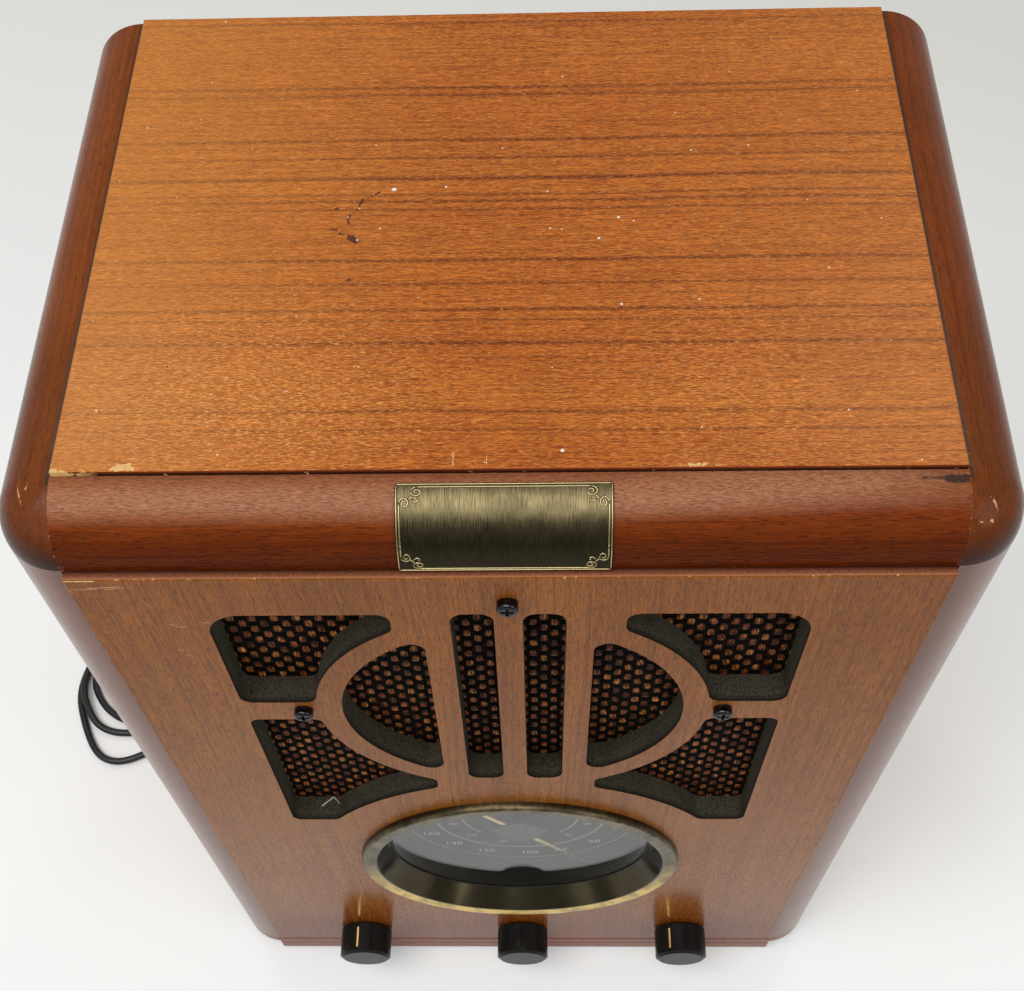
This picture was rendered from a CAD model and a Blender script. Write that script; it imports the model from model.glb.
import bpy
from math import atan2, ceil, copysign, cos, pi, radians, sin, sqrt
from mathutils import Matrix, Vector


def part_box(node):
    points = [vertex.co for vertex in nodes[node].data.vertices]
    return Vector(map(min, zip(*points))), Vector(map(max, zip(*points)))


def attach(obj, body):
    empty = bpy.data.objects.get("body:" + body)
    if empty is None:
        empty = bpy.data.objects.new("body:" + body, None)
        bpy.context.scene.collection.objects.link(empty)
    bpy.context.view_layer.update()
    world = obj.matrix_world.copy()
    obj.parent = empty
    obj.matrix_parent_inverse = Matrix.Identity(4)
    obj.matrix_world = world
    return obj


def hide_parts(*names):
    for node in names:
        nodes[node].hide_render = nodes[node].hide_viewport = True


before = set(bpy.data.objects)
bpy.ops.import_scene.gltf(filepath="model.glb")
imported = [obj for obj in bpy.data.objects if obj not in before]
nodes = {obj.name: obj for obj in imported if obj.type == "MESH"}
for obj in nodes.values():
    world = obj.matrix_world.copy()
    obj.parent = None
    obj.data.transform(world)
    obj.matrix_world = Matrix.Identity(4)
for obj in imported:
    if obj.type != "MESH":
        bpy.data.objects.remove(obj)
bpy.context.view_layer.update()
scene = bpy.context.scene

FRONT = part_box("front_panel")[0].y          # face of the front panel
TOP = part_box("top_panel")[1].z              # upper face of the top panel
RING = Vector((0, FRONT, 0.2847))           # centre of the pierced roundel
DIAL = Vector((0, FRONT, 0.1359))           # centre of the dial
EDGE_R = 0.020                              # radius of the rounded edges of the case
PIERCED_HALF = 0.0925                       # half the width that the openings of the front take up
PIERCED_LOW, PIERCED_HIGH = 0.178, RING.z + 0.0665


# ---- camera
def set_camera():
    yaw, pitch, roll = -0.05818, 1.073177, -0.055621
    ahead = Vector((sin(yaw) * cos(pitch), cos(yaw) * cos(pitch), -sin(pitch)))
    level = Vector((cos(yaw), -sin(yaw), 0))
    upright = level.cross(ahead)
    across = cos(roll) * level + sin(roll) * upright
    upward = -sin(roll) * level + cos(roll) * upright
    data = bpy.data.cameras.new("camera")
    data.sensor_width = 36
    data.lens = 46.893
    data.shift_x = 0.0083
    data.shift_y = 0.1487
    data.clip_start = 0.01
    camera = bpy.data.objects.new("camera", data)
    turn = Matrix((across, upward, -ahead)).transposed().to_4x4()
    camera.matrix_world = Matrix.Translation((0.00952, -0.29289, 0.68863)) @ turn
    scene.collection.objects.link(camera)
    scene.camera = camera


# ---- shader helper
class Shader:
    """The node tree of one material, written with short calls."""

    def __init__(self, name, **settings):
        self.material = bpy.data.materials.new(name)
        self.material.use_nodes = True
        self.tree = self.material.node_tree
        self.surface = self.tree.nodes["Principled BSDF"]
        for key, value in settings.items():
            self.set(key.replace("_", " "), value)
        self.place = self.node("ShaderNodeTexCoord").outputs["Object"]

    def node(self, kind, **settings):
        made = self.tree.nodes.new(kind)
        for key, value in settings.items():
            setattr(made, key, value)
        return made

    def feed(self, socket, value):
        if isinstance(value, bpy.types.NodeSocket):
            self.tree.links.new(value, socket)
        elif isinstance(value, (tuple, list)) and len(value) == 3 and socket.type == "RGBA":
            socket.default_value = (*value, 1)
        else:
            socket.default_value = value

    def set(self, name, value):
        self.feed(self.surface.inputs[name], value)

    def paint(self, colour):
        self.set("Base Color", colour)

    def rough(self, least, mask, spread):
        self.set("Roughness", self.plus(least, self.times(mask, spread)))

    def calc(self, operation, a, b=0.0, clamp=False):
        made = self.node("ShaderNodeMath", operation=operation, use_clamp=clamp)
        for socket, value in zip(made.inputs, (a, b)):
            self.feed(socket, value)
        return made.outputs[0]

    def plus(self, a, b):
        return self.calc("ADD", a, b)

    def minus(self, a, b, clamp=False):
        return self.calc("SUBTRACT", a, b, clamp)

    def times(self, a, b, clamp=False):
        return self.calc("MULTIPLY", a, b, clamp)

    def absolute(self, value):
        return self.calc("ABSOLUTE", value)

    def above(self, a, b):
        return self.calc("GREATER_THAN", a, b)

    def below(self, a, b):
        return self.calc("LESS_THAN", a, b)

    def split(self, vector=None):
        made = self.node("ShaderNodeSeparateXYZ")
        self.feed(made.inputs[0], vector or self.place)
        return made.outputs[0], made.outputs[1], made.outputs[2]

    def join(self, x, y, z):
        made = self.node("ShaderNodeCombineXYZ")
        for socket, value in zip(made.inputs, (x, y, z)):
            self.feed(socket, value)
        return made.outputs[0]

    def scaled(self, vector, scale, shift=(0, 0, 0)):
        made = self.node("ShaderNodeMapping")
        self.feed(made.inputs["Vector"], vector)
        made.inputs["Scale"].default_value = scale
        made.inputs["Location"].default_value = shift
        return made.outputs[0]

    def noise(self, scale, detail=2.0, roughness=0.5, at=None):
        made = self.node("ShaderNodeTexNoise")
        self.feed(made.inputs["Vector"], at or self.place)
        made.inputs["Scale"].default_value = scale
        made.inputs["Detail"].default_value = detail
        made.inputs["Roughness"].default_value = roughness
        return made.outputs["Fac"]

    def drawn(self, scale, detail=2, roughness=0.5, shift=(0, 0, 0)):
        """Noise drawn out: about so many waves a metre along each axis."""
        return self.noise(1.0, detail, roughness, self.scaled(self.place, scale, shift))

    def ramp(self, value, *stops):
        made = self.node("ShaderNodeValToRGB")
        self.feed(made.inputs[0], value)
        elements = made.color_ramp.elements
        while len(elements) < len(stops):
            elements.new(0.5)
        for element, (position, colour) in zip(elements, stops):
            element.position = position
            if not isinstance(colour, (tuple, list)):
                colour = (colour, colour, colour)
            element.color = (*colour, 1)
        return made.outputs[0]

    def mix(self, share, a, b, blend="MIX"):
        made = self.node("ShaderNodeMix", data_type="RGBA", blend_type=blend)
        self.feed(made.inputs[0], share)
        self.feed(made.inputs[6], a)
        self.feed(made.inputs[7], b)
        return made.outputs[2]

    def tinted(self, colour, tint):
        return self.mix(1.0, colour, tint, "MULTIPLY")

    def bump(self, height, distance, strength=1.0):
        made = self.node("ShaderNodeBump")
        self.feed(made.inputs["Height"], height)
        made.inputs["Distance"].default_value = distance
        made.inputs["Strength"].default_value = strength
        self.set("Normal", made.outputs[0])

    def near(self, centre, radius, soft=0.0006, ragged=0.0, stretch=(1, 1, 1)):
        """1 inside a spot of that radius, falling to 0 at its edge."""
        moved = self.scaled(self.place, stretch, tuple(-c * s for c, s in zip(centre, stretch)))
        length = self.node("ShaderNodeVectorMath", operation="LENGTH")
        self.feed(length.inputs[0], moved)
        inside = self.minus(radius, length.outputs["Value"])
        if ragged:
            wobble = self.minus(self.noise(900, 3, 0.6), 0.5)
            inside = self.plus(inside, self.times(wobble, ragged))
        return self.calc("DIVIDE", inside, soft, clamp=True)

    def vector(self, operation, a, b):
        made = self.node("ShaderNodeVectorMath", operation=operation)
        self.feed(made.inputs[0], a)
        self.feed(made.inputs["Scale" if operation == "SCALE" else 1], b)
        return made.outputs[1 if operation == "DOT_PRODUCT" else 0]

    def scratch(self, start, end, half, ragged=0.0004, soft=0.00012):
        """1 along a thin ragged line between two places, which are in millimetres, as its half width is."""
        start, end = Vector(start) / 1000, Vector(end) / 1000
        ahead = (end - start).normalized()
        away = self.vector("SUBTRACT", self.place, tuple(start))
        along = self.vector("DOT_PRODUCT", away, tuple(ahead))
        along = self.calc("MINIMUM", self.calc("MAXIMUM", along, 0), (end - start).length)
        aside = self.vector("SUBTRACT", away, self.vector("SCALE", tuple(ahead), along))
        gap = self.calc("SQRT", self.vector("DOT_PRODUCT", aside, aside))
        wobble = self.minus(self.noise(1100, 3, 0.6), 0.5)
        inside = self.minus(half / 1000, gap)
        inside = self.plus(inside, self.times(wobble, ragged))
        return self.calc("DIVIDE", inside, soft, clamp=True)

    def between(self, value, start, end):
        """0 at the first number, 1 at the second."""
        return self.calc("DIVIDE", self.minus(value, start), end - start, clamp=True)

    def worn(self, distance, width, cover=0.5, scale=160.0):
        """Ragged patches that reach up to about this width from an edge."""
        reach = self.minus(self.noise(scale, 4, 0.7), cover)
        reach = self.times(reach, width * 6)
        return self.calc("DIVIDE", self.minus(reach, distance), 0.00015, clamp=True)

    def any_of(self, masks):
        found = masks[0]
        for mask in masks[1:]:
            found = self.calc("MAXIMUM", found, mask)
        return found


def tone(colour, by):
    """The colour, lighter or darker by this factor."""
    return tuple(min(1.0, c * by) for c in colour)


def finish_node(names, shader):
    for name in names:
        nodes[name].data.materials.clear()
        nodes[name].data.materials.append(shader.material)


# ---- wood
GRAIN_AXES = {"X": (0, 1, 2), "Y": (1, 0, 2), "Z": (2, 0, 1)}


def wood(name, grain, pale, body, dark, pores=0.6, streaks=(), gloss=0.12, roughness=0.30, seed=0.0,
         bands=20.0, lines=0.45, fibres=0.35, open_pores=0.585, bump=1.0, wander=0.010, fine=1.0):
    """Thinly lacquered veneer: broad bands, dark lines, hair-fine fibres and short open pores."""
    s = Shader(name, IOR=1.5, Specular_IOR_Level=gloss)
    parts = s.split()
    along, side, other = (parts[i] for i in GRAIN_AXES[grain])
    sway = s.noise(1.0, 2, at=s.join(s.times(along, 7.0), s.times(side, 9.0), other))
    side = s.plus(side, s.times(s.minus(sway, 0.5), wander))
    lie = s.join(along, side, other)

    def lengthwise(length, width, shift, detail, rough=0.5):
        """Noise drawn out along the grain: so many waves a metre along it, and across it."""
        return s.noise(1.0, detail, rough, s.scaled(lie, (length, width, width), shift))

    band = lengthwise(2.2, bands * 2.2, (seed, seed, seed), 3, 0.55)
    line = lengthwise(2.8, 480 * fine, (seed, 3 + seed, 1), 3, 0.65)
    fibre = lengthwise(90, 2300, (2, seed, 5), 2, 0.6)
    short = lengthwise(290, 3000 * fine, (seed, 1, 2), 1)
    cloud = s.noise(38, 4, 0.6)
    colour = s.mix(s.ramp(band, (0.34, 0), (0.66, 1)), body, pale)
    colour = s.mix(s.times(s.ramp(line, (0.46, 0), (0.68, 1)), lines), colour, dark)
    if streaks:
        found = []
        for at, width, weight in streaks:
            streak = s.minus(1.0, s.calc("DIVIDE", s.absolute(s.minus(side, at)), width), clamp=True)
            found.append(s.times(streak, weight, clamp=True))
        broken = s.ramp(lengthwise(14, 700, (1, 1, 1), 2), (0.28, 0.60), (0.46, 1))
        colour = s.mix(s.times(s.any_of(found), broken), colour, tone(dark, 0.6))
    colour = s.mix(s.times(s.ramp(fibre, (0.40, 0), (0.66, 1)), fibres), colour, dark)
    colour = s.mix(s.times(s.ramp(fibre, (0.34, 1), (0.46, 0)), fibres * 0.8), colour, tone(pale, 1.25))
    pore = s.ramp(short, (open_pores, 0), (open_pores + 0.06, 1))
    colour = s.mix(s.times(pore, pores), colour, tone(dark, 0.35))
    colour = s.mix(s.times(s.ramp(cloud, (0.35, 1), (0.60, 0)), 0.14), colour, dark)
    s.bump(s.minus(s.times(fibre, 0.35), s.times(pore, 0.8)), 0.00007 * bump, 0.6)
    s.rough(roughness - 0.05, s.noise(60, 3), 0.10)
    return s, colour


# pale, body and dark colour of each wood
TEAK = ((0.50, 0.148, 0.019), (0.44, 0.112, 0.013), (0.15, 0.024, 0.004))
VENEER = ((0.300, 0.106, 0.024), (0.245, 0.082, 0.017), (0.090, 0.024, 0.006))
RAIL = ((0.225, 0.046, 0.007), (0.165, 0.030, 0.005), (0.055, 0.009, 0.002))
BARE = ((0.66, 0.47, 0.27), (0.55, 0.37, 0.20), (0.36, 0.21, 0.10))
MAHOGANY = ((0.240, 0.054, 0.010), (0.170, 0.033, 0.006), (0.055, 0.010, 0.002))

# The darkest lines of the top's grain, in metres from back to front: place, half width, weight. The places
# were rounded from a brightness profile of the photograph, which a scratch script had read.
TOP_LINES = [
    (0.109, 0.0011, 0.90), (0.0766, 0.0012, 1.00), (0.0730, 0.0011, 0.90), (0.0516, 0.0013, 1.10),
    (0.0432, 0.0008, 0.80), (0.0342, 0.0013, 1.10), (0.0270, 0.0008, 0.80), (0.0242, 0.0010, 0.95),
    (0.0206, 0.0008, 0.80), (-0.0003, 0.0012, 1.10), (-0.0098, 0.0009, 0.80), (-0.0200, 0.0011, 0.95),
    (-0.0240, 0.0008, 0.80), (-0.0326, 0.0012, 1.05), (-0.0572, 0.0009, 0.90), (-0.0635, 0.0008, 0.80),
]
# Wear, in millimetres. Most places are points picked on the photograph, which a scratch script turned into
# places on the surfaces.
# dark scuffs on the top: from x, y to x, y, half width
TOP_SCUFFS = [
    (-44.8, 25.7, -45.8, 22.9, 0.42), (-46.1, 22.0, -47.5, 19.7, 0.20), (-48.4, 19.0, -48.9, 17.5, 0.45),
    (-48.9, 17.5, -48.7, 15.6, 0.35), (-39.4, 29.1, -42.1, 27.0, 0.35), (-52.6, 21.8, -52.9, 21.7, 0.60),
    (-53.3, 12.9, -52.5, 12.9, 0.45), (-51.0, 11.3, -50.2, 11.1, 0.55), (-47.6, 9.6, -46.0, 8.3, 1.10),
    (-44.5, 20.0, -43.4, 15.0, 0.10), (-47.3, -7.6, -46.9, -7.6, 0.50), (-97.3, -38.8, -97.3, -43.0, 0.12),
    (-95.6, -39.2, -95.5, -42.4, 0.08),
]
# pale specks on the top: x, y, radius
TOP_SPECKS = [
    (-35.4, 29.8, 0.80), (-19.2, 30.6, 0.40), (12.2, 28.2, 0.40), (13.0, 12.5, 0.40), (34.0, 16.7, 0.45),
    (27.7, 8.1, 0.40), (-1.3, -19.7, 0.30), (33.8, -18.3, 0.40), (15.8, -71.1, 0.60), (-30.7, -72.2, 0.30),
    (-45.6, 8.5, 0.35), (-41.6, 27.7, 0.35), (-48.9, 18.2, 0.30), (-46.0, 21.9, 0.25), (-50.4, 11.1, 0.20),
]
# chips along the top's front edge: from x, y to x, y, half width, raggedness
TOP_CHIPS = [
    (-108.0, -76.2, -102.5, -76.0, 0.7, 0.0024), (-106.5, -75.0, -103.4, -74.8, 0.6, 0.0020),
    (50.0, -76.2, 54.5, -76.1, 0.50, 0.0018), (45.0, -76.4, 60.0, -76.4, 0.10, 0.0006),
]
# chips on the two ball corners: from, to, half width
BALL_CHIPS = [
    ((-135.6, -78.3, 387.9), (-134.6, -81.5, 387.6), 0.25),
    ((-134.8, -81.0, 387.7), (-133.8, -83.7, 387.0), 0.20),
    ((-132.8, -80.1, 388.9), (-132.2, -78.3, 389.3), 0.20),
    ((131.1, -83.6, 387.9), (133.4, -86.2, 385.8), 0.20),
    ((132.3, -84.2, 387.3), (133.6, -87.0, 385.2), 0.22),
    ((128.4, -89.6, 384.4), (129.2, -89.7, 384.1), 0.25),
    ((132.0, -89.1, 383.8), (132.2, -89.2, 383.6), 0.45),
]
# scratches on the face of the front: from x, z to x, z, half width
FRONT_MARKS = [
    (-125.2, 369.9, -116.5, 369.9, 0.28), (-125.4, 369.6, -124.6, 363.5, 0.14),
    (-123.6, 365.4, -117.2, 365.7, 0.16), (-119.5, 366.1, -110.0, 367.0, 0.20),
    (-114.8, 365.6, -109.0, 366.3, 0.14), (-100.8, 345.5, -98.6, 343.7, 0.18),
    (-99.1, 343.7, -96.4, 343.6, 0.20), (-90.6, 346.0, -88.6, 346.4, 0.16),
    (-102.3, 329.4, -100.6, 328.9, 0.14), (-100.6, 326.1, -97.6, 324.6, 0.14),
    (-105.2, 357.5, -103.6, 355.0, 0.12), (-121.9, 341.0, -120.8, 340.6, 0.14),
    (-108.4, 366.5, -106.6, 366.2, 0.12),
]


def dress_top():
    low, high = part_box("top_panel")
    surface = 1000 * TOP

    def stroke(ax, ay, bx, by, half, ragged):
        return s.scratch((ax, ay, surface), (bx, by, surface), half, ragged)

    s, colour = wood("teak_top", "X", *TEAK, streaks=TOP_LINES, seed=2.0, gloss=0.17,
                     pores=0.60, open_pores=0.59, bump=2.2, wander=0.004, fine=1.7)
    x, y, z = s.split()
    tick = s.drawn((210, 5000, 5000), 2, 0.7)
    colour = s.mix(s.ramp(tick, (0.53, 0), (0.60, 0.86)), colour, (0.160, 0.027, 0.004))
    # the lacquer has faded toward both sides, more at the left
    faded = s.plus(s.times(s.between(x, -0.02, -0.12), 0.45), s.times(s.between(x, 0.03, 0.12), 0.16))
    pale = s.mix(s.noise(900, 3, 0.6), (0.46, 0.165, 0.028), (0.66, 0.27, 0.055))
    colour = s.mix(faded, colour, pale)
    # the open pores glint, most near the two front corners
    fleck = s.drawn((520, 4200, 4200), 2, 0.7, (3, 1, 4))
    gleam = s.calc("MAXIMUM", s.near((-0.070, -0.052, TOP), 0.055, 0.045, stretch=(0.8, 1.2, 1)),
                   s.times(s.near((0.062, -0.050, TOP), 0.050, 0.045), 0.5))
    glint = s.times(s.ramp(fleck, (0.54, 0), (0.61, 1)), s.plus(0.37, s.times(gleam, 0.55)))
    colour = s.mix(glint, colour, (0.80, 0.34, 0.095))
    scuffs = s.any_of([stroke(*ends, half, 0.0009 + 0.0016 * half) for *ends, half in TOP_SCUFFS])
    colour = s.mix(s.times(scuffs, 0.85), colour, (0.040, 0.014, 0.009))
    specks = [s.near((ax / 1000, ay / 1000, TOP), r / 1000, 0.0002, ragged=0.0012)
              for ax, ay, r in TOP_SPECKS]
    # fine dust: one speck in each cell, and too small to see in many of them
    dust = s.node("ShaderNodeTexVoronoi", voronoi_dimensions="2D")
    s.feed(dust.inputs["Vector"], s.place)
    dust.inputs["Scale"].default_value = 52
    radius = s.minus(s.times(s.split(dust.outputs["Color"])[0], 0.020), 0.004)
    specks.append(s.below(dust.outputs["Distance"], radius))
    colour = s.mix(s.any_of(specks), colour, (0.70, 0.66, 0.58))
    scratches = [stroke(-14.2, -76.0, -14.2, -71.6, 0.22, 0.0003),
                 stroke(-5.0, -75.4, -5.0, -72.6, 0.16, 0.0003)]
    colour = s.mix(s.times(s.any_of(scratches), 0.5), colour, (0.80, 0.55, 0.38))
    # the front edge: dark lacquer that is black at its foot
    face = s.below(y, low.y + 0.0001)
    shade = s.mix(s.between(z, TOP - 0.0016, TOP - 0.0004), (0.012, 0.003, 0.002), (0.200, 0.038, 0.008))
    colour = s.mix(face, colour, shade)
    # bare wood shows where the edges are worn
    from_front = s.minus(y, low.y)
    chips = [s.worn(from_front, 0.0004, 0.62, 260),
             s.worn(s.minus(high.x, s.absolute(x)), 0.0005, 0.60, 420),
             s.times(s.between(x, -0.112, -0.118), s.worn(from_front, 0.0012, 0.45, 200))]
    chips += [stroke(*chip) for chip in TOP_CHIPS]
    bare = s.mix(s.noise(1400, 2), (0.50, 0.27, 0.08), (0.78, 0.52, 0.22))
    s.paint(s.mix(s.any_of(chips), colour, bare))
    finish_node(["top_panel"], s)


def age_top_moulding(s, colour):
    """Stain under the ball corners and in the seams, with small chips in front."""
    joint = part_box("left_front_moulding")[1].z          # where the balls meet the upright mouldings
    seam_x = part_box("right_front_moulding")[1].x - EDGE_R
    x, y, z = s.split()
    aside = s.minus(s.absolute(x), seam_x)
    colour = s.mix(s.between(y, FRONT + 0.100, FRONT + 0.030), s.tinted(colour, (0.91, 1.0, 1)),
                   s.tinted(colour, (0.72, 0.84, 1)))
    under = s.times(s.between(z, joint + 0.0125, joint + 0.0020), s.between(y, FRONT + 0.034, FRONT + 0.016))
    colour = s.mix(s.times(under, 0.93), colour, (0.018, 0.004, 0.002))
    seam = s.times(s.between(aside, 0.0016, 0.0006), s.above(z, joint + 0.0195))
    colour = s.mix(s.times(seam, 0.75), colour, (0.040, 0.028, 0.017))
    flecks = s.times(s.worn(s.absolute(aside), 0.0008, 0.55, 900), s.between(y, FRONT + 0.060, FRONT + 0.020))
    chips = s.any_of([s.scratch(*chip, 0.0012) for chip in BALL_CHIPS] + [s.times(flecks, 0.6)])
    return s.mix(s.times(chips, 0.85), colour, (0.55, 0.33, 0.14))


def dress_mouldings():
    for grain, gloss, names in (("Z", 0.56, ["left_front_moulding", "right_front_moulding"]),
                                ("Y", 0.10, ["left_top_moulding", "right_top_moulding"]),
                                ("X", 0.25, ["base_board", "front_bottom_rail"])):
        s, colour = wood(f"mahogany_{grain}", grain, *MAHOGANY, pores=0.4, seed=1.0, bands=12, gloss=gloss,
                         roughness=0.22, lines=0.35, fibres=0.20)
        if grain == "Z":
            colour = s.tinted(colour, (0.74, 0.84, 1.00))
        if grain == "Y":
            colour = age_top_moulding(s, colour)
        s.paint(colour)
        finish_node(names, s)


def dress_rail():
    s, colour = wood("mahogany_rail", "X", *RAIL, pores=0.6, seed=9.0, bands=14, gloss=0.06, roughness=0.24,
                     fibres=0.25, fine=1.5, bump=2.0)
    x, y, z = s.split()
    upper_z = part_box("front_top_rail")[1].z
    foot_z = upper_z - EDGE_R
    rise = s.between(z, foot_z, upper_z)
    shade = s.ramp(rise, (0.0, (0.50, 0.40, 0.25)), (0.45, (0.58, 0.50, 0.35)), (0.72, (0.95, 0.95, 0.95)),
                   (0.9, (1, 1, 1)))
    colour = s.tinted(colour, shade)
    # the round is rubbed dull on top, with its pores showing pale
    dry = s.drawn((520, 5200, 5200), 3, 0.7)
    dry_colour = s.mix(s.ramp(dry, (0.36, 0), (0.66, 1)), (0.175, 0.062, 0.027), (0.50, 0.245, 0.135))
    height = s.minus(rise, s.times(s.between(x, 0.03, 0.10), 0.10))
    band = s.ramp(height, (0.68, 0), (0.86, 0.72), (0.95, 0.68), (1.0, 0.32))
    colour = s.mix(s.times(band, s.between(x, 0.150, 0.100)), colour, dry_colour)
    # a dark stain that runs out to a point, by the right ball corner
    stain = s.any_of([s.scratch((128.0, -79.6, 390.2), (120.0, -79.6, 390.2), 1.5, 0.0020, 0.0006),
                      s.scratch((122.0, -79.4, 390.3), (113.5, -79.3, 390.3), 0.5, 0.0008, 0.0004)])
    colour = s.mix(s.times(stain, 0.82), colour, (0.020, 0.016, 0.015))
    rubbed = s.times(s.worn(s.absolute(s.minus(z, foot_z)), 0.0006, 0.58, 500), 0.6)
    s.paint(s.mix(rubbed, colour, (0.40, 0.16, 0.06)))
    finish_node(["front_top_rail"], s)


def dress_front():
    s, colour = wood("front_veneer", "Z", *VENEER, seed=4.0, bands=26, pores=0.85, lines=0.52, fibres=0.46,
                     open_pores=0.595, gloss=0.22, fine=1.5)
    x, y, z = s.split()
    top_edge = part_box("front_panel")[1].z
    glow = s.ramp(s.between(z, 0.03, 0.34), (0.03, (0.70, 0.44, 0.06)), (0.15, (1.00, 0.95, 0.55)),
                  (0.45, (1.00, 0.98, 0.50)), (1.0, (0.95, 0.84, 0.24)))
    colour = s.tinted(colour, glow)
    # the ledge on top of the panel: grainy, rubbed pale at its front and dark by the rail
    flecks = s.ramp(s.noise(2600, 3, 0.7), (0.38, 0), (0.66, 0.8))
    ledge = s.mix(flecks, (0.120, 0.030, 0.010), (0.33, 0.125, 0.060))
    ledge = s.mix(s.between(y, FRONT + 0.0014, FRONT + 0.0006), ledge, (0.36, 0.150, 0.075))
    ledge = s.mix(s.between(y, FRONT + 0.0016, FRONT + 0.0030), ledge, (0.050, 0.011, 0.004))
    on_ledge = s.times(s.above(y, FRONT + 0.0005), s.above(z, top_edge - 0.0008))
    colour = s.mix(on_ledge, colour, ledge)
    # the walls of the openings: gritty dark paint, black at the lip
    wall = s.times(s.above(y, FRONT + 0.00012), s.below(s.absolute(x), PIERCED_HALF))
    wall = s.times(wall, s.times(s.above(z, PIERCED_LOW), s.below(z, PIERCED_HIGH)))
    grit = s.noise(1500, 4, 0.7)
    patch = s.noise(170, 4, 0.65)
    paint = s.mix(s.ramp(grit, (0.38, 0), (0.68, 1)), (0.006, 0.005, 0.003), (0.070, 0.060, 0.038))
    paint = s.mix(s.times(s.ramp(patch, (0.45, 0), (0.70, 1)), 0.45), paint, (0.060, 0.048, 0.028))
    lip = s.times(s.between(y, FRONT + 0.0026, FRONT + 0.0005), 0.95)
    paint = s.mix(lip, paint, (0.004, 0.003, 0.002))
    scrapes = [s.scratch((-79.3, -92.4, 185.2), (-74.7, -88.5, 185.2), 0.30, 0.0005),
               s.scratch((-74.7, -88.5, 185.2), (-72.0, -91.5, 185.7), 0.25, 0.0005)]
    paint = s.mix(s.any_of(scrapes), paint, (0.50, 0.42, 0.31))
    face = 1000 * FRONT
    marks = [s.times(s.worn(s.minus(top_edge, z), 0.0006, 0.60, 420), s.below(y, FRONT + 0.0008))]
    marks += [s.scratch((ax, face, az), (bx, face, bz), half, 0.0005) for ax, az, bx, bz, half in FRONT_MARKS]
    colour = s.mix(s.times(s.any_of(marks), 0.75), colour, (0.66, 0.42, 0.20))
    s.paint(s.mix(wall, colour, paint))
    # the lacquer is smoother low down, where it wasn't rubbed
    rubbed = s.times(s.between(z, 0.06, 0.34), 0.30)
    s.set("Roughness", s.plus(s.plus(0.16, rubbed), s.times(wall, 0.4)))
    finish_node(["front_panel"], s)


def dress_cabinet():
    dress_top()
    dress_mouldings()
    dress_rail()
    dress_front()
    s, colour = wood("teak_sides", "Z", *TEAK, seed=5.0, gloss=0.15)
    s.paint(colour)
    finish_node(["left_side_panel", "right_side_panel"], s)
    for grain, names in (("Z", ["left_side_board", "right_side_board", "back_cleats"]),
                         ("X", ["bottom_board", "top_board"])):
        s, colour = wood(f"bare_board_{grain}", grain, *BARE, pores=0.3, seed=3.0, roughness=0.75)
        s.paint(colour)
        finish_node(names, s)
    s = Shader("hardboard", Roughness=0.6)
    flecks = s.noise(700, 4, 0.7)
    colour = s.mix(s.ramp(flecks, (0.34, 0), (0.66, 1)), (0.085, 0.042, 0.020), (0.25, 0.135, 0.070))
    mottle = s.ramp(s.noise(45, 4, 0.6), (0.35, 0), (0.65, 0.35))
    s.paint(s.mix(mottle, colour, (0.095, 0.047, 0.023)))
    s.bump(flecks, 0.0001, 0.4)
    finish_node(["back_panel"], s)


# ---- plain materials
def metal(name, colour, roughness=0.35, brushed=None, dirt=(0.02, 0.018, 0.015), soil=0.0):
    s = Shader(name, Metallic=1.0)
    if brushed:
        scale = {"X": (20, 2500, 2500), "Y": (2500, 20, 2500), "Z": (2500, 2500, 20)}[brushed]
        grainy = s.drawn(scale, 2)
    else:
        grainy = s.noise(500, 4, 0.6)
    s.rough(roughness - 0.075, grainy, 0.15)
    patches = s.noise(90, 5, 0.65)
    share = s.times(s.ramp(patches, (0.40, 0), (0.70, 1)), soil)
    s.paint(s.mix(share, s.mix(grainy, colour, tone(colour, 1.12)), dirt))
    s.bump(grainy, 0.00003, 0.4)
    return s


def moulded(name, colour, roughness=0.4, gloss=0.3, texture=0.00004, scale=900):
    s = Shader(name, IOR=1.5, Specular_IOR_Level=gloss)
    skin = s.noise(scale, 3, 0.6)
    s.rough(roughness - 0.06, skin, 0.12)
    s.paint(s.mix(skin, tone(colour, 0.85), tone(colour, 1.2)))
    s.bump(skin, texture, 0.4)
    return s


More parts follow.
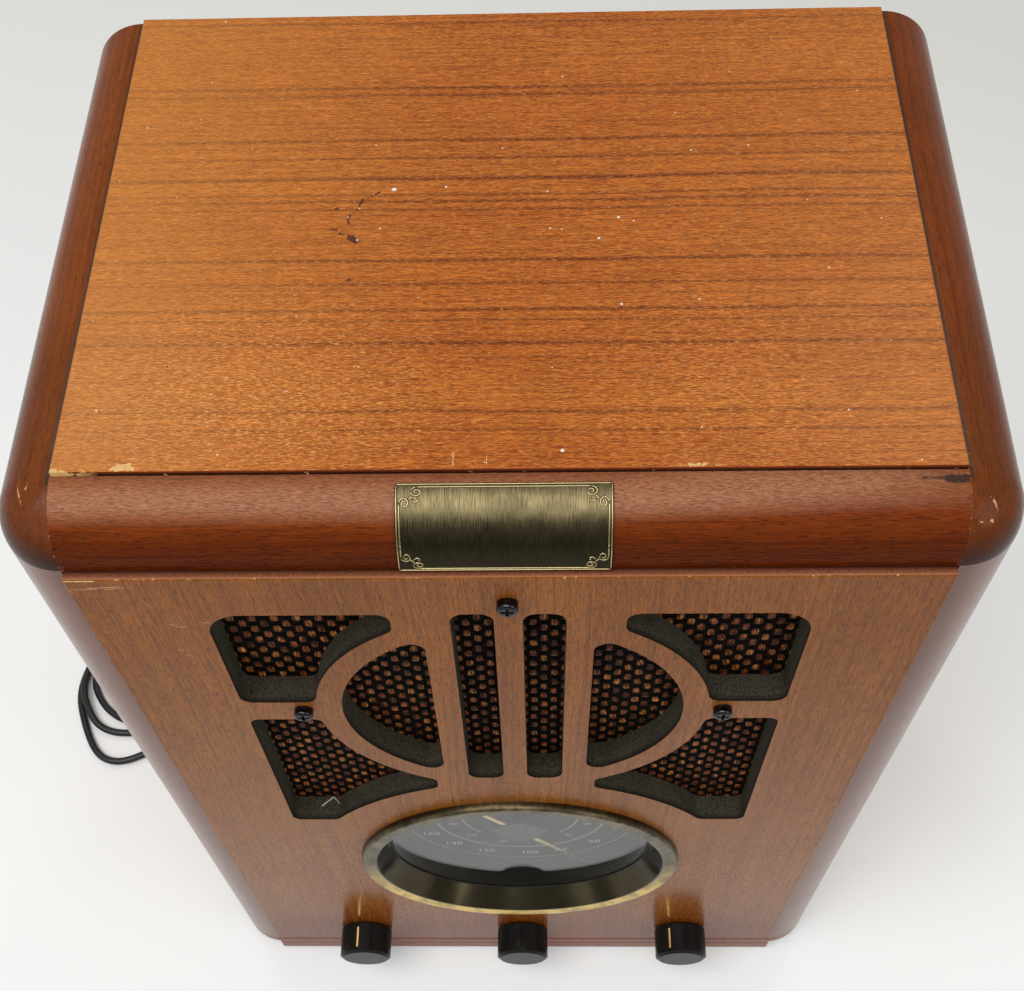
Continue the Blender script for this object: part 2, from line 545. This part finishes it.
def dress_small_parts():
    steel = metal("steel", (0.34, 0.33, 0.31), 0.32, soil=0.5)
    zinc = metal("zinc_plate", (0.55, 0.55, 0.52), 0.42, soil=0.25, dirt=(0.25, 0.23, 0.19))
    for names, shader in (
            (["volume_knob", "band_knob", "tuning_knob"],
             moulded("knob_plastic", (0.009, 0.0085, 0.0080), 0.20, gloss=0.09, texture=0.00002)),
            (["dial_gasket", "cord_strain_relief", "rubber_feet"],
             moulded("black_rubber", (0.016, 0.015, 0.014), 0.55)),
            (["power_plug"], moulded("plug_plastic", (0.020, 0.020, 0.021), 0.45)),
            (["pointer_hub", "dial_drum", "filter_capacitors", "lamp_holders"],
             moulded("dark_plastic", (0.035, 0.030, 0.027), 0.45)),
            (["grille_nuts", "back_screws"], steel),
            (["grille_screws"], metal("black_nickel", (0.036, 0.036, 0.038), 0.16, soil=0.4)),
            (["pointer_shaft", "standoffs", "control_nuts"], metal("bright_steel", (0.60, 0.60, 0.58), 0.3)),
            (["volume_shaft", "band_shaft", "tuning_shaft", "tuning_capacitor"],
             metal("aluminium", (0.74, 0.74, 0.76), 0.35)),
            (["chassis", "volume_control", "band_switch", "tuning_bearing"], zinc),
            (["speaker_frame", "dial_frame"], moulded("black_paint", (0.020, 0.020, 0.020), 0.4)),
            (["speaker_magnet"], moulded("ferrite", (0.070, 0.070, 0.075), 0.6)),
            (["transformer_core"], moulded("laminations", (0.10, 0.095, 0.09), 0.5)),
            (["transformer_coil"], moulded("coil_tape", (0.50, 0.36, 0.10), 0.5)),
            (["circuit_board"], moulded("phenolic", (0.30, 0.17, 0.06), 0.5, scale=300)),
            (["speaker_cone"],
             moulded("pressed_paper", (0.030, 0.029, 0.028), 0.9, texture=0.0001, scale=1500)),
            (["dial_cord"], moulded("braid", (0.30, 0.24, 0.15), 0.8, texture=0.0002, scale=2500)),
            (["plug_blades"], metal("blade_brass", (0.78, 0.60, 0.28), 0.28, brushed="Y")),
            (["pointer"], metal("gold", (0.66, 0.48, 0.22), 0.25, brushed="X"))):
        finish_node(names, shader)


def dress_bezel():
    """Aged brass: dark in the dish, mottled on the rim, and rubbed bright along the lower rim."""
    s = Shader("antique_brass", Metallic=1.0)
    x, y, z = s.split()
    drop = s.minus(z, DIAL.z)
    from_axis = s.calc("SQRT", s.plus(s.calc("POWER", x, 2.0), s.calc("POWER", drop, 2.0)))
    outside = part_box("dial_bezel")[1].x
    rim = s.between(from_axis, outside - 0.0066, outside - 0.0056)
    below = s.between(z, DIAL.z + 0.006, DIAL.z - 0.034)
    patchy = s.ramp(s.noise(140, 4, 0.65), (0.34, 0.35), (0.56, 1))
    colour = s.mix(s.noise(200, 4, 0.6), (0.036, 0.030, 0.018), (0.072, 0.060, 0.034))
    mottle = s.ramp(s.noise(330, 5, 0.7), (0.38, 0), (0.62, 1))
    colour = s.mix(rim, colour, s.mix(mottle, (0.055, 0.046, 0.028), (0.190, 0.158, 0.090)))
    colour = s.mix(s.times(s.times(rim, below), patchy), colour, (0.74, 0.54, 0.18))
    skirt = s.between(from_axis, outside - 0.0012, outside - 0.0004)
    s.paint(s.mix(s.times(skirt, 0.7), colour, (0.040, 0.026, 0.012)))
    s.rough(0.18, rim, 0.14)
    s.bump(s.noise(500, 4, 0.6), 0.00003, 0.4)
    finish_node(["dial_bezel"], s)


def dress_badge():
    """Brushed brass that is dull and dark toward its foot."""
    s = Shader("plate_brass", Metallic=1.0)
    stroke = s.drawn((6500, 240, 240), 2, 0.6)
    stain = s.noise(120, 5, 0.7)
    low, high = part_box("name_plate")
    bright = s.ramp(s.between(s.split()[2], low.z, high.z),
                    (0.0, 0.22), (0.12, 0.08), (0.45, 0.16), (0.72, 0.55), (1.0, 0.95))
    sheen = s.times(s.ramp(stroke, (0.34, 0.25), (0.64, 1)), s.ramp(stain, (0.34, 0.55), (0.60, 1)))
    s.paint(s.mix(s.times(sheen, bright), (0.018, 0.015, 0.008), (0.205, 0.165, 0.083)))
    s.rough(0.26, stroke, 0.16)
    s.bump(stroke, 0.00003, 0.4)
    finish_node(["name_plate"], s)


def dress_glass():
    s = Shader("clear_glass", IOR=1.28, Transmission_Weight=1.0)
    s.paint((0.97, 0.98, 0.98))
    smear = s.noise(45, 4, 0.6)
    s.set("Roughness", s.times(s.ramp(smear, (0.45, 0), (0.80, 1)), 0.06))
    finish_node(["dial_glass", "dial_lamps"], s)


# ---- mesh helper
def add_mesh(name, vertices, faces, material, body="root", smooth=True):
    data = bpy.data.meshes.new(name)
    data.from_pydata([tuple(v) for v in vertices], [], faces)
    data.update()
    if smooth:
        data.polygons.foreach_set("use_smooth", [True] * len(data.polygons))
    data.materials.append(material)
    piece = bpy.data.objects.new(name, data)
    scene.collection.objects.link(piece)
    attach(piece, body)
    return piece


def tube_mesh(path, radius):
    """Vertices and faces of a thin rod with six sides along a path of points."""
    count, sides = len(path), 6
    vertices, faces = [], []
    for i, point in enumerate(path):
        ahead = (path[min(i + 1, count - 1)] - path[max(i - 1, 0)]).normalized()
        side = ahead.cross(Vector((0, 0, 1)) if abs(ahead.z) < 0.9 else Vector((0, 1, 0))).normalized()
        rise = side.cross(ahead)
        for k in range(sides):
            a = 2 * pi * k / sides
            vertices.append(point + radius * (cos(a) * side + sin(a) * rise))
    for i in range(count - 1):
        for k in range(sides):
            m = (k + 1) % sides
            faces.append((i * sides + k, i * sides + m, (i + 1) * sides + m, (i + 1) * sides + k))
    faces.append(tuple(range(sides))[::-1])
    faces.append(tuple((count - 1) * sides + k for k in range(sides)))
    return vertices, faces


def merged(name, pieces, material):
    """One piece from several sets of vertices and faces."""
    vertices, faces = [], []
    for more, loops in pieces:
        base = len(vertices)
        vertices += more
        faces += [tuple(i + base for i in loop) for loop in loops]
    return add_mesh(name, vertices, faces, material)


# ---- grille cloth
COLUMN, ROW = 0.0035, 0.0034            # one upright bundle to the next, one pair of threads to the next
SWING = 0.00022                         # how far a thread rises and dips from the middle of the cloth
BUNDLE_HALF, BUNDLE_SWELL = 0.00112, 0.00026
BUNDLE_THICK, THREAD_THICK = 0.00020, 0.00018       # half of each
THREAD_HALF, THREAD_PAIR = 0.00052, 0.00066
THREAD_WANDER = 0.0001                  # no thread lies quite straight


def ribbon(points, half_widths, half_thick, wide_axis):
    """A flat thread with rounded sides."""
    vertices, faces = [], []
    shape = [(-1, 0), (-0.65, -0.8), (0, -1), (0.65, -0.8), (1, 0), (0, 0.6)]
    for p, half_width in zip(points, half_widths):
        for w, t in shape:
            vertices.append(p + wide_axis * (w * half_width) + Vector((0, t * half_thick, 0)))
    n = len(shape)
    for i in range(len(points) - 1):
        for k in range(n):
            m = (k + 1) % n
            faces.append((i * n + k, i * n + m, (i + 1) * n + m, (i + 1) * n + k))
    return vertices, faces


def bundle_shader(middle):
    s = Shader("bundle_thread", Roughness=0.60, Specular_IOR_Level=0.12)
    cell = s.noise(230, 1, 0.5)
    strands = s.drawn((3000, 1, 240), 2)
    colour = s.ramp(cell, (0.32, (0.060, 0.012, 0.003)), (0.43, (0.18, 0.040, 0.007)),
                    (0.55, (0.34, 0.096, 0.015)), (0.67, (0.54, 0.205, 0.045)))
    colour = s.mix(s.ramp(strands, (0.38, 0), (0.58, 0.95)), colour, (0.012, 0.004, 0.002))
    # dust and shade darken the thread where it dips between its neighbours
    raised = s.between(s.split()[1], middle - 0.00002, middle - 0.00030)
    s.paint(s.mix(raised, (0.006, 0.003, 0.002), colour))
    s.bump(strands, 0.00014, 0.8)
    return s


def weave_cloth():
    """Plain weave: flat brown bundles upright, paired black threads across, over a black backing."""
    low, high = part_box("grille_cloth")
    margin = 0.0004
    x0, x1, z0, z1 = low.x + margin, high.x - margin, low.z + margin, high.z - margin
    frame_low, frame_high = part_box("dial_frame")
    clear = (frame_high.x - frame_low.x) / 2 + 0.0006   # radius of the bite round the dial frame
    middle = (low.y + high.y) / 2 - 0.00005

    uprights, across = [], []
    for i in range(int((x1 - x0) / COLUMN) + 1):
        x = x0 + (i + 0.5) * COLUMN
        if x > x1:
            continue
        start = z0
        if abs(x) < clear:
            start = max(start, DIAL.z + sqrt(clear ** 2 - x ** 2))
        points, widths = [], []
        step = ROW / 3
        j = ceil((start - z0) / step)
        while z0 + j * step <= z1:
            lift = sin(pi * (j * step / ROW + i + 0.5))
            lift = copysign(sqrt(abs(lift)), lift)
            wander = THREAD_WANDER * sin(0.9 * j + 1.7 * i)
            points.append(Vector((x + wander, middle - SWING * lift, z0 + j * step)))
            widths.append(BUNDLE_HALF + BUNDLE_SWELL * lift)
            j += 1
        if len(points) > 1:
            uprights.append(ribbon(points, widths, BUNDLE_THICK, Vector((1, 0, 0))))
    for j in range(int((z1 - z0) / ROW) + 1):
        for offset in (-THREAD_PAIR, THREAD_PAIR):
            z = z0 + j * ROW + offset
            if not z0 < z < z1:
                continue
            spans = [(x0, x1)]
            if abs(z - DIAL.z) < clear:
                half = sqrt(clear ** 2 - (z - DIAL.z) ** 2)
                spans = [(x0, -half), (half, x1)]
            for a, b in spans:
                points = []
                count = int((b - a) / (COLUMN / 2))
                for i in range(count + 1):
                    x = a + (b - a) * i / count
                    lift = sin(pi * ((x - x0) / COLUMN + j))
                    wander = THREAD_WANDER * sin(2.1 * i + j)
                    points.append(Vector((x, middle + SWING * lift, z + wander)))
                across.append(ribbon(points, [THREAD_HALF] * len(points), THREAD_THICK, Vector((0, 0, 1))))

    upright_threads = merged("cloth_upright_threads", uprights, bundle_shader(middle).material)
    s = Shader("black_thread", Roughness=0.75, Specular_IOR_Level=0.03)
    strands = s.drawn((260, 1, 3600), 2)
    s.paint(s.mix(strands, (0.001, 0.001, 0.001), (0.006, 0.005, 0.004)))
    s.bump(strands, 0.00012, 0.6)
    cross_threads = merged("cloth_cross_threads", across, s.material)

    # backing: one flat layer cut round the dial frame
    y = high.y - 0.00006
    outline = [Vector((low.x, y, low.z)), Vector((low.x, y, high.z)), Vector((high.x, y, high.z)),
               Vector((high.x, y, low.z))]
    start = low.z - DIAL.z
    a0 = atan2(start, sqrt(clear ** 2 - start ** 2))
    steps = 40
    for k in range(steps + 1):
        a = a0 + (pi - 2 * a0) * k / steps
        outline.append(DIAL + Vector((clear * cos(a), y - DIAL.y, clear * sin(a))))
    s = Shader("backing", Roughness=0.9)
    s.paint(s.mix(s.noise(1200, 2), (0.003, 0.003, 0.003), (0.010, 0.009, 0.008)))
    backing = add_mesh("cloth_backing", outline, [tuple(range(len(outline)))[::-1]], s.material, smooth=False)
    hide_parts("grille_cloth")


# ---- dial
# scale arcs: radius, first and last angle in degrees, half width
DIAL_ARCS = [
    (0.0378, 168, 372, 0.00022), (0.0256, 150, 228, 0.00022), (0.0256, 312, 390, 0.00022),
    (0.0520, 196, 344, 0.00014), (0.0196, 236, 304, 0.00012),
]
# ticks that point inward: radius, first angle, sweep, gaps, gaps to a long tick, short, long, half width
DIAL_TICKS = [
    (0.0378, 186, 168, 60, 5, 0.0014, 0.0026, 0.00010), (0.0214, 236, 68, 28, 4, 0.0012, 0.0022, 0.00009),
]
OUTER_NUMBERS = [("160", 207), ("140", 227), ("120", 249), ("100", 275), ("80", 294), ("60", 318),
                 ("55", 344)]
INNER_NUMBERS = ["108", "104", "100", "96", "92", "88"]     # evenly spaced
OUTER_NUMBER_R, OUTER_NUMBER_SIZE = 0.0456, 0.0056
INNER_NUMBER_R, INNER_NUMBER_SIZE = 0.0315, 0.0032


def letter_dial():
    """Pale scale arcs, ticks and plain numbers on the dark face."""
    s = Shader("dial_paint", Roughness=0.45, Specular_IOR_Level=0.12)
    cloud = s.noise(120, 3)
    s.paint(s.mix(cloud, (0.026, 0.025, 0.023), (0.042, 0.040, 0.036)))
    finish_node(["dial_face"], s)

    ink = Shader("dial_ink", Roughness=0.6)
    ink.paint(ink.mix(ink.noise(900, 2), (0.44, 0.43, 0.40), (0.60, 0.59, 0.55)))
    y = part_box("dial_face")[0].y - 0.00012

    def place(radius, degrees):
        a = radians(degrees)
        return Vector((radius * cos(a), y, DIAL.z + radius * sin(a)))

    vertices, faces = [], []

    def stroke(points, half):
        base = len(vertices)
        for i, p in enumerate(points):
            ahead = (points[min(i + 1, len(points) - 1)] - points[max(i - 1, 0)]).normalized()
            side = Vector((-ahead.z, 0, ahead.x)) * half
            vertices.extend((p - side, p + side))
        for i in range(len(points) - 1):
            a = base + 2 * i
            faces.append((a, a + 1, a + 3, a + 2))

    for radius, start, end, half in DIAL_ARCS:
        steps = max(6, int((end - start) / 3))
        stroke([place(radius, start + (end - start) * k / steps) for k in range(steps + 1)], half)
    for radius, start, sweep, gaps, every, short, long, half in DIAL_TICKS:
        for k in range(gaps + 1):
            degrees = start + sweep * k / gaps
            stroke([place(radius, degrees), place(radius - (short if k % every else long), degrees)], half)
    marks = add_mesh("dial_marks", vertices, faces, ink.material, smooth=False)

    def number(text, radius, degrees, height, name):
        data = bpy.data.curves.new(name, "FONT")
        data.body = text
        data.size = height
        data.align_x = "CENTER"
        data.align_y = "CENTER"
        data.resolution_u = 3
        data.materials.append(ink.material)
        piece = bpy.data.objects.new(name, data)
        piece.matrix_world = Matrix.Translation(place(radius, degrees)) @ Matrix.Rotation(pi / 2, 4, "X")
        scene.collection.objects.link(piece)
        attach(piece, "root")

    for k, (text, degrees) in enumerate(OUTER_NUMBERS):
        number(text, OUTER_NUMBER_R, degrees, OUTER_NUMBER_SIZE, f"dial_number_{k}")
    for k, text in enumerate(INNER_NUMBERS):
        degrees = 196 + 148 * k / (len(INNER_NUMBERS) - 1)
        number(text, INNER_NUMBER_R, degrees, INNER_NUMBER_SIZE, f"dial_small_number_{k}")


# ---- badge plate
# the plate bends round the rail's edge
BADGE_R, BADGE_TOP, BADGE_FOOT = 0.0209, radians(76), radians(1.8)
# places on the plate, in millimetres right and down from its upper left corner
BORDER_INSET, RIM_INSET = 1.1, 0.32
SCROLL_ABOVE, SCROLL_BESIDE = (5.95, 2.5), (2.55, 5.6)                  # middles of a corner's two scrolls
STEMS = [[(4.9, 3.3), (4.5, 3.9), (4.1, 4.3), (3.7, 4.7)],
         [(4.6, 4.6), (5.0, 5.1), (5.6, 5.35), (6.2, 5.1), (6.3, 4.6), (5.9, 4.4)]]
LINE_R, PATINA_R, PATINA_DEPTH = 0.00023, 0.00046, 0.00034


def curl(centre, radii, start, sweep):
    """A spiral from its rim inward: angles in degrees, turning from right towards down."""
    count, last = 26, 0.22              # steps, and the share of the radius at the inner end
    path = []
    for k in range(count + 1):
        share = 1 - (1 - last) * k / count
        a = radians(start + sweep * k / count)
        path.append((centre[0] + radii[0] * share * cos(a), centre[1] + radii[1] * share * sin(a)))
    return path


def run(start, end):
    """Points at most 0.8 mm apart on a straight line."""
    steps = max(2, int(sqrt((end[0] - start[0]) ** 2 + (end[1] - start[1]) ** 2) / 0.8))
    return [tuple(a + (b - a) * k / steps for a, b in zip(start, end)) for k in range(steps + 1)]


def edge_badge():
    """Raised border line with scrolls at the corners of the bent plate, which stays bare inside it."""
    low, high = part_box("name_plate")
    rail_low, rail_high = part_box("front_top_rail")
    axis_y, axis_z = rail_low.y + EDGE_R, rail_high.z - EDGE_R
    middle = (low.x + high.x) / 2
    width, height = (high.x - low.x) * 1000, 1000 * BADGE_R * (BADGE_TOP - BADGE_FOOT)

    def on_plate(across, down):
        a = BADGE_TOP - down / 1000 / BADGE_R
        r = BADGE_R + 0.00004
        return Vector((middle + (across - width / 2) / 1000, axis_y - r * cos(a), axis_z + r * sin(a)))

    shapes, shadows = [], []

    def raise_line(points):
        """A thin bright line, half sunk in a wider band of dark patina."""
        path = [on_plate(*point) for point in points]
        shapes.append(tube_mesh(path, LINE_R))
        sunk = [p + (Vector((p.x, axis_y, axis_z)) - p).normalized() * PATINA_DEPTH for p in path]
        shadows.append(tube_mesh(sunk, PATINA_R))

    strokes = [curl(SCROLL_ABOVE, (1.85, 1.4), -90, -520),
               curl(SCROLL_BESIDE, (1.45, 1.65), 180, 520), *STEMS]
    for right in (False, True):
        for lower in (False, True):
            for stroke in strokes:
                raise_line([(width - a if right else a, height - d if lower else d) for a, d in stroke])
    for edge, a, d in ((BORDER_INSET, SCROLL_ABOVE[0], SCROLL_BESIDE[1]), (RIM_INSET, RIM_INSET, RIM_INSET)):
        raise_line(run((a, edge), (width - a, edge)))
        raise_line(run((a, height - edge), (width - a, height - edge)))
        raise_line(run((edge, d), (edge, height - d)))
        raise_line(run((width - edge, d), (width - edge, height - d)))
    s = metal("plate_line", (0.42, 0.34, 0.17), 0.28)
    merged("plate_border", shapes, s.material)
    s = metal("plate_patina", (0.020, 0.017, 0.009), 0.45)
    merged("plate_patina", shadows, s.material)


# ---- knobs
LINE_HALF = 0.00060                     # half the gold line's width
LINE_CROWN, LINE_SIDE, LINE_FOOT = 0.00020, 0.00036, 0.0009     # how far below the knob's round


def mark_knobs():
    """A gold line inlaid in one groove of each knob, so many degrees from the top."""
    gold = metal("knob_gold", (0.80, 0.56, 0.24), 0.3, brushed="Y")
    section = ((-LINE_HALF, LINE_SIDE), (0, LINE_CROWN), (LINE_HALF, LINE_SIDE), (LINE_HALF, LINE_FOOT),
               (-LINE_HALF, LINE_FOOT))
    for name, angle in (("volume", 15), ("band", 144), ("tuning", 31)):
        low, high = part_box(f"{name}_knob")
        centre = (low + high) / 2
        radius = (high.x - low.x) / 2
        a = radians(90 + angle)
        out = Vector((cos(a), 0, sin(a)))
        side = Vector((-sin(a), 0, cos(a)))
        vertices = []
        for y in (low.y + 0.0028, high.y - 0.0024):
            for across, depth in section:
                vertices.append(Vector((centre.x, y, centre.z)) + out * (radius - depth) + side * across)
        faces = [(i, (i + 1) % 5, 5 + (i + 1) % 5, 5 + i) for i in range(5)]
        faces += [(4, 3, 2, 1, 0), (5, 6, 7, 8, 9)]
        line = add_mesh(f"{name}_line", vertices, faces, gold.material, name, smooth=False)


# ---- mains cord
CORD_D = 0.004
# from the strain relief down to the surface and round to the coil, in millimetres: a point without a height
# lies on the surface
ROUTE = [
    (-95, 137.75, 42), (-95, 152.75, 42), (-97.5, 167, 32), (-103, 171, 15.5), (-115, 165, 4), (-134, 156),
    (-154, 141), (-167, 119), (-173, 95), (-174.5, 71),
]
# three loose loops, each crossing the one before in a long low hump
LOOPS = [
    (-174, 58), (-174, 45.5), (-178, 35), (-187, 26), (-198, 20.3), (-208, 15.8), (-217, 10.9),
    (-225.5, 7.6), (-233.5, 7.6), (-240.5, 11.2), (-246.3, 19), (-252.6, 33), (-257.6, 48.8), (-256, 65),
    (-249, 79), (-237.5, 88), (-224, 91.5), (-210, 92.5), (-196.5, 89.5, 2.3), (-184.5, 81.5, 3.8),
    (-177.5, 70, 5.9), (-175.2, 57.5, 6.4), (-175.2, 46.5, 6.4), (-177.8, 39, 6.2), (-184, 33, 5.2),
    (-194, 28.5, 3.2), (-206, 25.8), (-219, 25.6), (-232, 24.8), (-243.5, 29, 2.6), (-250.5, 39, 4.6),
    (-254.8, 51, 6.5), (-253.8, 65, 6.5), (-247.5, 76, 5.4), (-238, 83, 3.2), (-226, 86.6), (-212, 88, 3.8),
    (-199.5, 84.5, 6.4), (-188.5, 77.8, 8.2), (-181, 68.5, 9.7), (-178, 56.5, 10.3), (-179, 44.5, 9.8),
    (-183.5, 36, 8.8), (-191, 31, 7.8), (-202, 28.3, 6.6), (-213.5, 29.2, 4.8), (-224, 31.5, 3.0),
    (-232, 34.5), (-239.2, 39.5), (-245, 46.5), (-249.3, 55), (-249.8, 64), (-246, 72), (-238.5, 77.5),
    (-229, 80.5), (-217.5, 82.5),
]
TAIL = [(-229, 66, 6.6), (-226, 74.5, 7.2), (-222.3, 82, 7.1), (-222, 88, 7.0)]
COIL_X, COIL_Y = -205.0, 57.0
COIL_START = 98.0                       # where the first close turn begins, degrees
COIL_TURNS = 4.76
COIL_STEP = 24.0
FIRST_R, INNER_R = 26.8, 16.9
TURN_GAP = 4.28                         # one turn to the next
LOWER, LAYER = 2.1, 4.2                 # height of a turn on the surface, and of the next layer above it
CLIMB_FROM, UPPER_FROM = 2, 3           # the turns after which the cord climbs, and lies on top
# the upper layer steps out over the lower one: share of a turn, radius
STEP_OUT = [(0.0, 16.9), (0.2, 18.9), (0.35, 19.6), (0.5, 20.5), (0.7, 21.0), (1.0, 21.3)]


def coil_points():
    """Close turns: two spiral in on the surface, one climbs, and the rest spiral out on top of them."""
    count = round(COIL_TURNS * 360 / COIL_STEP)
    points = []
    for i in range(count + 1):
        turn = COIL_TURNS * i / count
        angle = radians(COIL_START - 360 * turn)
        if turn < UPPER_FROM:
            radius = max(FIRST_R - TURN_GAP * turn, INNER_R)
        else:
            share, lap = (turn - UPPER_FROM) % 1, int(turn - UPPER_FROM)
            for (a, ra), (b, rb) in zip(STEP_OUT, STEP_OUT[1:]):
                if a <= share <= b:
                    radius = ra + (rb - ra) * (share - a) / (b - a) + TURN_GAP * lap
        climb = min(max(turn - CLIMB_FROM, 0), 1)
        climb = climb * climb * (3 - 2 * climb)
        points.append((COIL_X + radius * cos(angle), COIL_Y + radius * sin(angle), LOWER + LAYER * climb))
    return points


def lay_cord():
    points = [(*p, LOWER)[:3] for p in ROUTE + LOOPS] + coil_points() + TAIL
    data = bpy.data.curves.new("mains_cord", "CURVE")
    data.dimensions = "3D"
    data.bevel_depth = CORD_D / 2
    data.bevel_resolution = 3
    data.use_fill_caps = True
    spline = data.splines.new("NURBS")
    spline.points.add(len(points) - 1)
    for place, point in zip(spline.points, points):
        place.co = (*(c / 1000 for c in point), 1)
    spline.order_u = 3
    spline.use_endpoint_u = True
    spline.resolution_u = 6
    s = Shader("cord_jacket", IOR=1.5, Specular_IOR_Level=0.4)
    skin = s.noise(800, 3)
    s.rough(0.30, skin, 0.12)
    s.paint(s.mix(skin, (0.006, 0.006, 0.007), (0.014, 0.014, 0.016)))
    s.bump(skin, 0.00003, 0.4)
    data.materials.append(s.material)
    piece = bpy.data.objects.new("mains_cord", data)
    scene.collection.objects.link(piece)
    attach(piece, "root")
    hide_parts("power_cord", "cord_coil")


# ---- studio
# soft lamps: name, place, aim, width and height, watts, colour
LAMPS = [
    ("overhead", (-0.55, -1.15, 2.9), (0, 0, 0.2), (3.0, 1.7), 74, (1.0, 0.99, 0.975)),
    ("back_left", (-1.00, 1.45, 2.4), (-0.12, -0.07, 0.39), (0.5, 0.5), 5, (1.0, 0.95, 0.82)),
    ("back_right", (0.87, 1.45, 2.4), (0.12, -0.07, 0.39), (0.5, 0.5), 5, (1.0, 0.95, 0.82)),
    ("left_fill", (-1.3, -0.9, 0.9), (0, 0, 0.15), (0.9, 0.9), 2.5, (1.0, 0.99, 0.97)),
    ("right_fill", (1.3, -0.9, 1.1), (0, 0, 0.15), (0.9, 0.9), 6, (1.0, 0.99, 0.97)),
]


def light_studio():
    world = bpy.data.worlds.new("studio")
    world.use_nodes = True
    background = world.node_tree.nodes["Background"]
    background.inputs["Color"].default_value = (0.97, 0.98, 1.0, 1)
    background.inputs["Strength"].default_value = 0.35
    scene.world = world
    for name, place, aim, size, power, colour in LAMPS:
        data = bpy.data.lights.new(name, "AREA")
        data.shape = "RECTANGLE"
        data.size, data.size_y = size
        data.energy = power
        data.color = colour
        lamp = bpy.data.objects.new(name, data)
        ray = Vector(aim) - Vector(place)
        lamp.matrix_world = Matrix.Translation(place) @ ray.to_track_quat("-Z", "Y").to_matrix().to_4x4()
        scene.collection.objects.link(lamp)


def lay_floor():
    """Pale paper, toned down behind the radio and far in front of it, where the lamps are brightest."""
    s = Shader("floor_paper", Roughness=0.9, Specular_IOR_Level=0.15)
    cloud = s.noise(2.5, 2)
    x, y, z = s.split()
    away = s.between(s.plus(s.times(x, 0.45), y), 0.05, 0.75)
    paper = s.mix(cloud, (0.82, 0.84, 0.84), (0.86, 0.88, 0.88))
    paper = s.mix(away, paper, (0.68, 0.68, 0.655))
    s.paint(s.mix(s.between(y, -0.35, -1.00), paper, (0.73, 0.735, 0.73)))
    half, z = 4.0, -0.00005
    data = bpy.data.meshes.new("floor")
    corners = [(-half, -half, z), (half, -half, z), (half, half, z), (-half, half, z)]
    data.from_pydata(corners, [], [(0, 1, 2, 3)])
    data.materials.append(s.material)
    floor = bpy.data.objects.new("floor", data)
    scene.collection.objects.link(floor)


set_camera()
dress_cabinet()
dress_small_parts()
dress_bezel()
dress_badge()
dress_glass()
weave_cloth()
letter_dial()
edge_badge()
mark_knobs()
lay_cord()
light_studio()
lay_floor()
scene.view_settings.view_transform = "Standard"
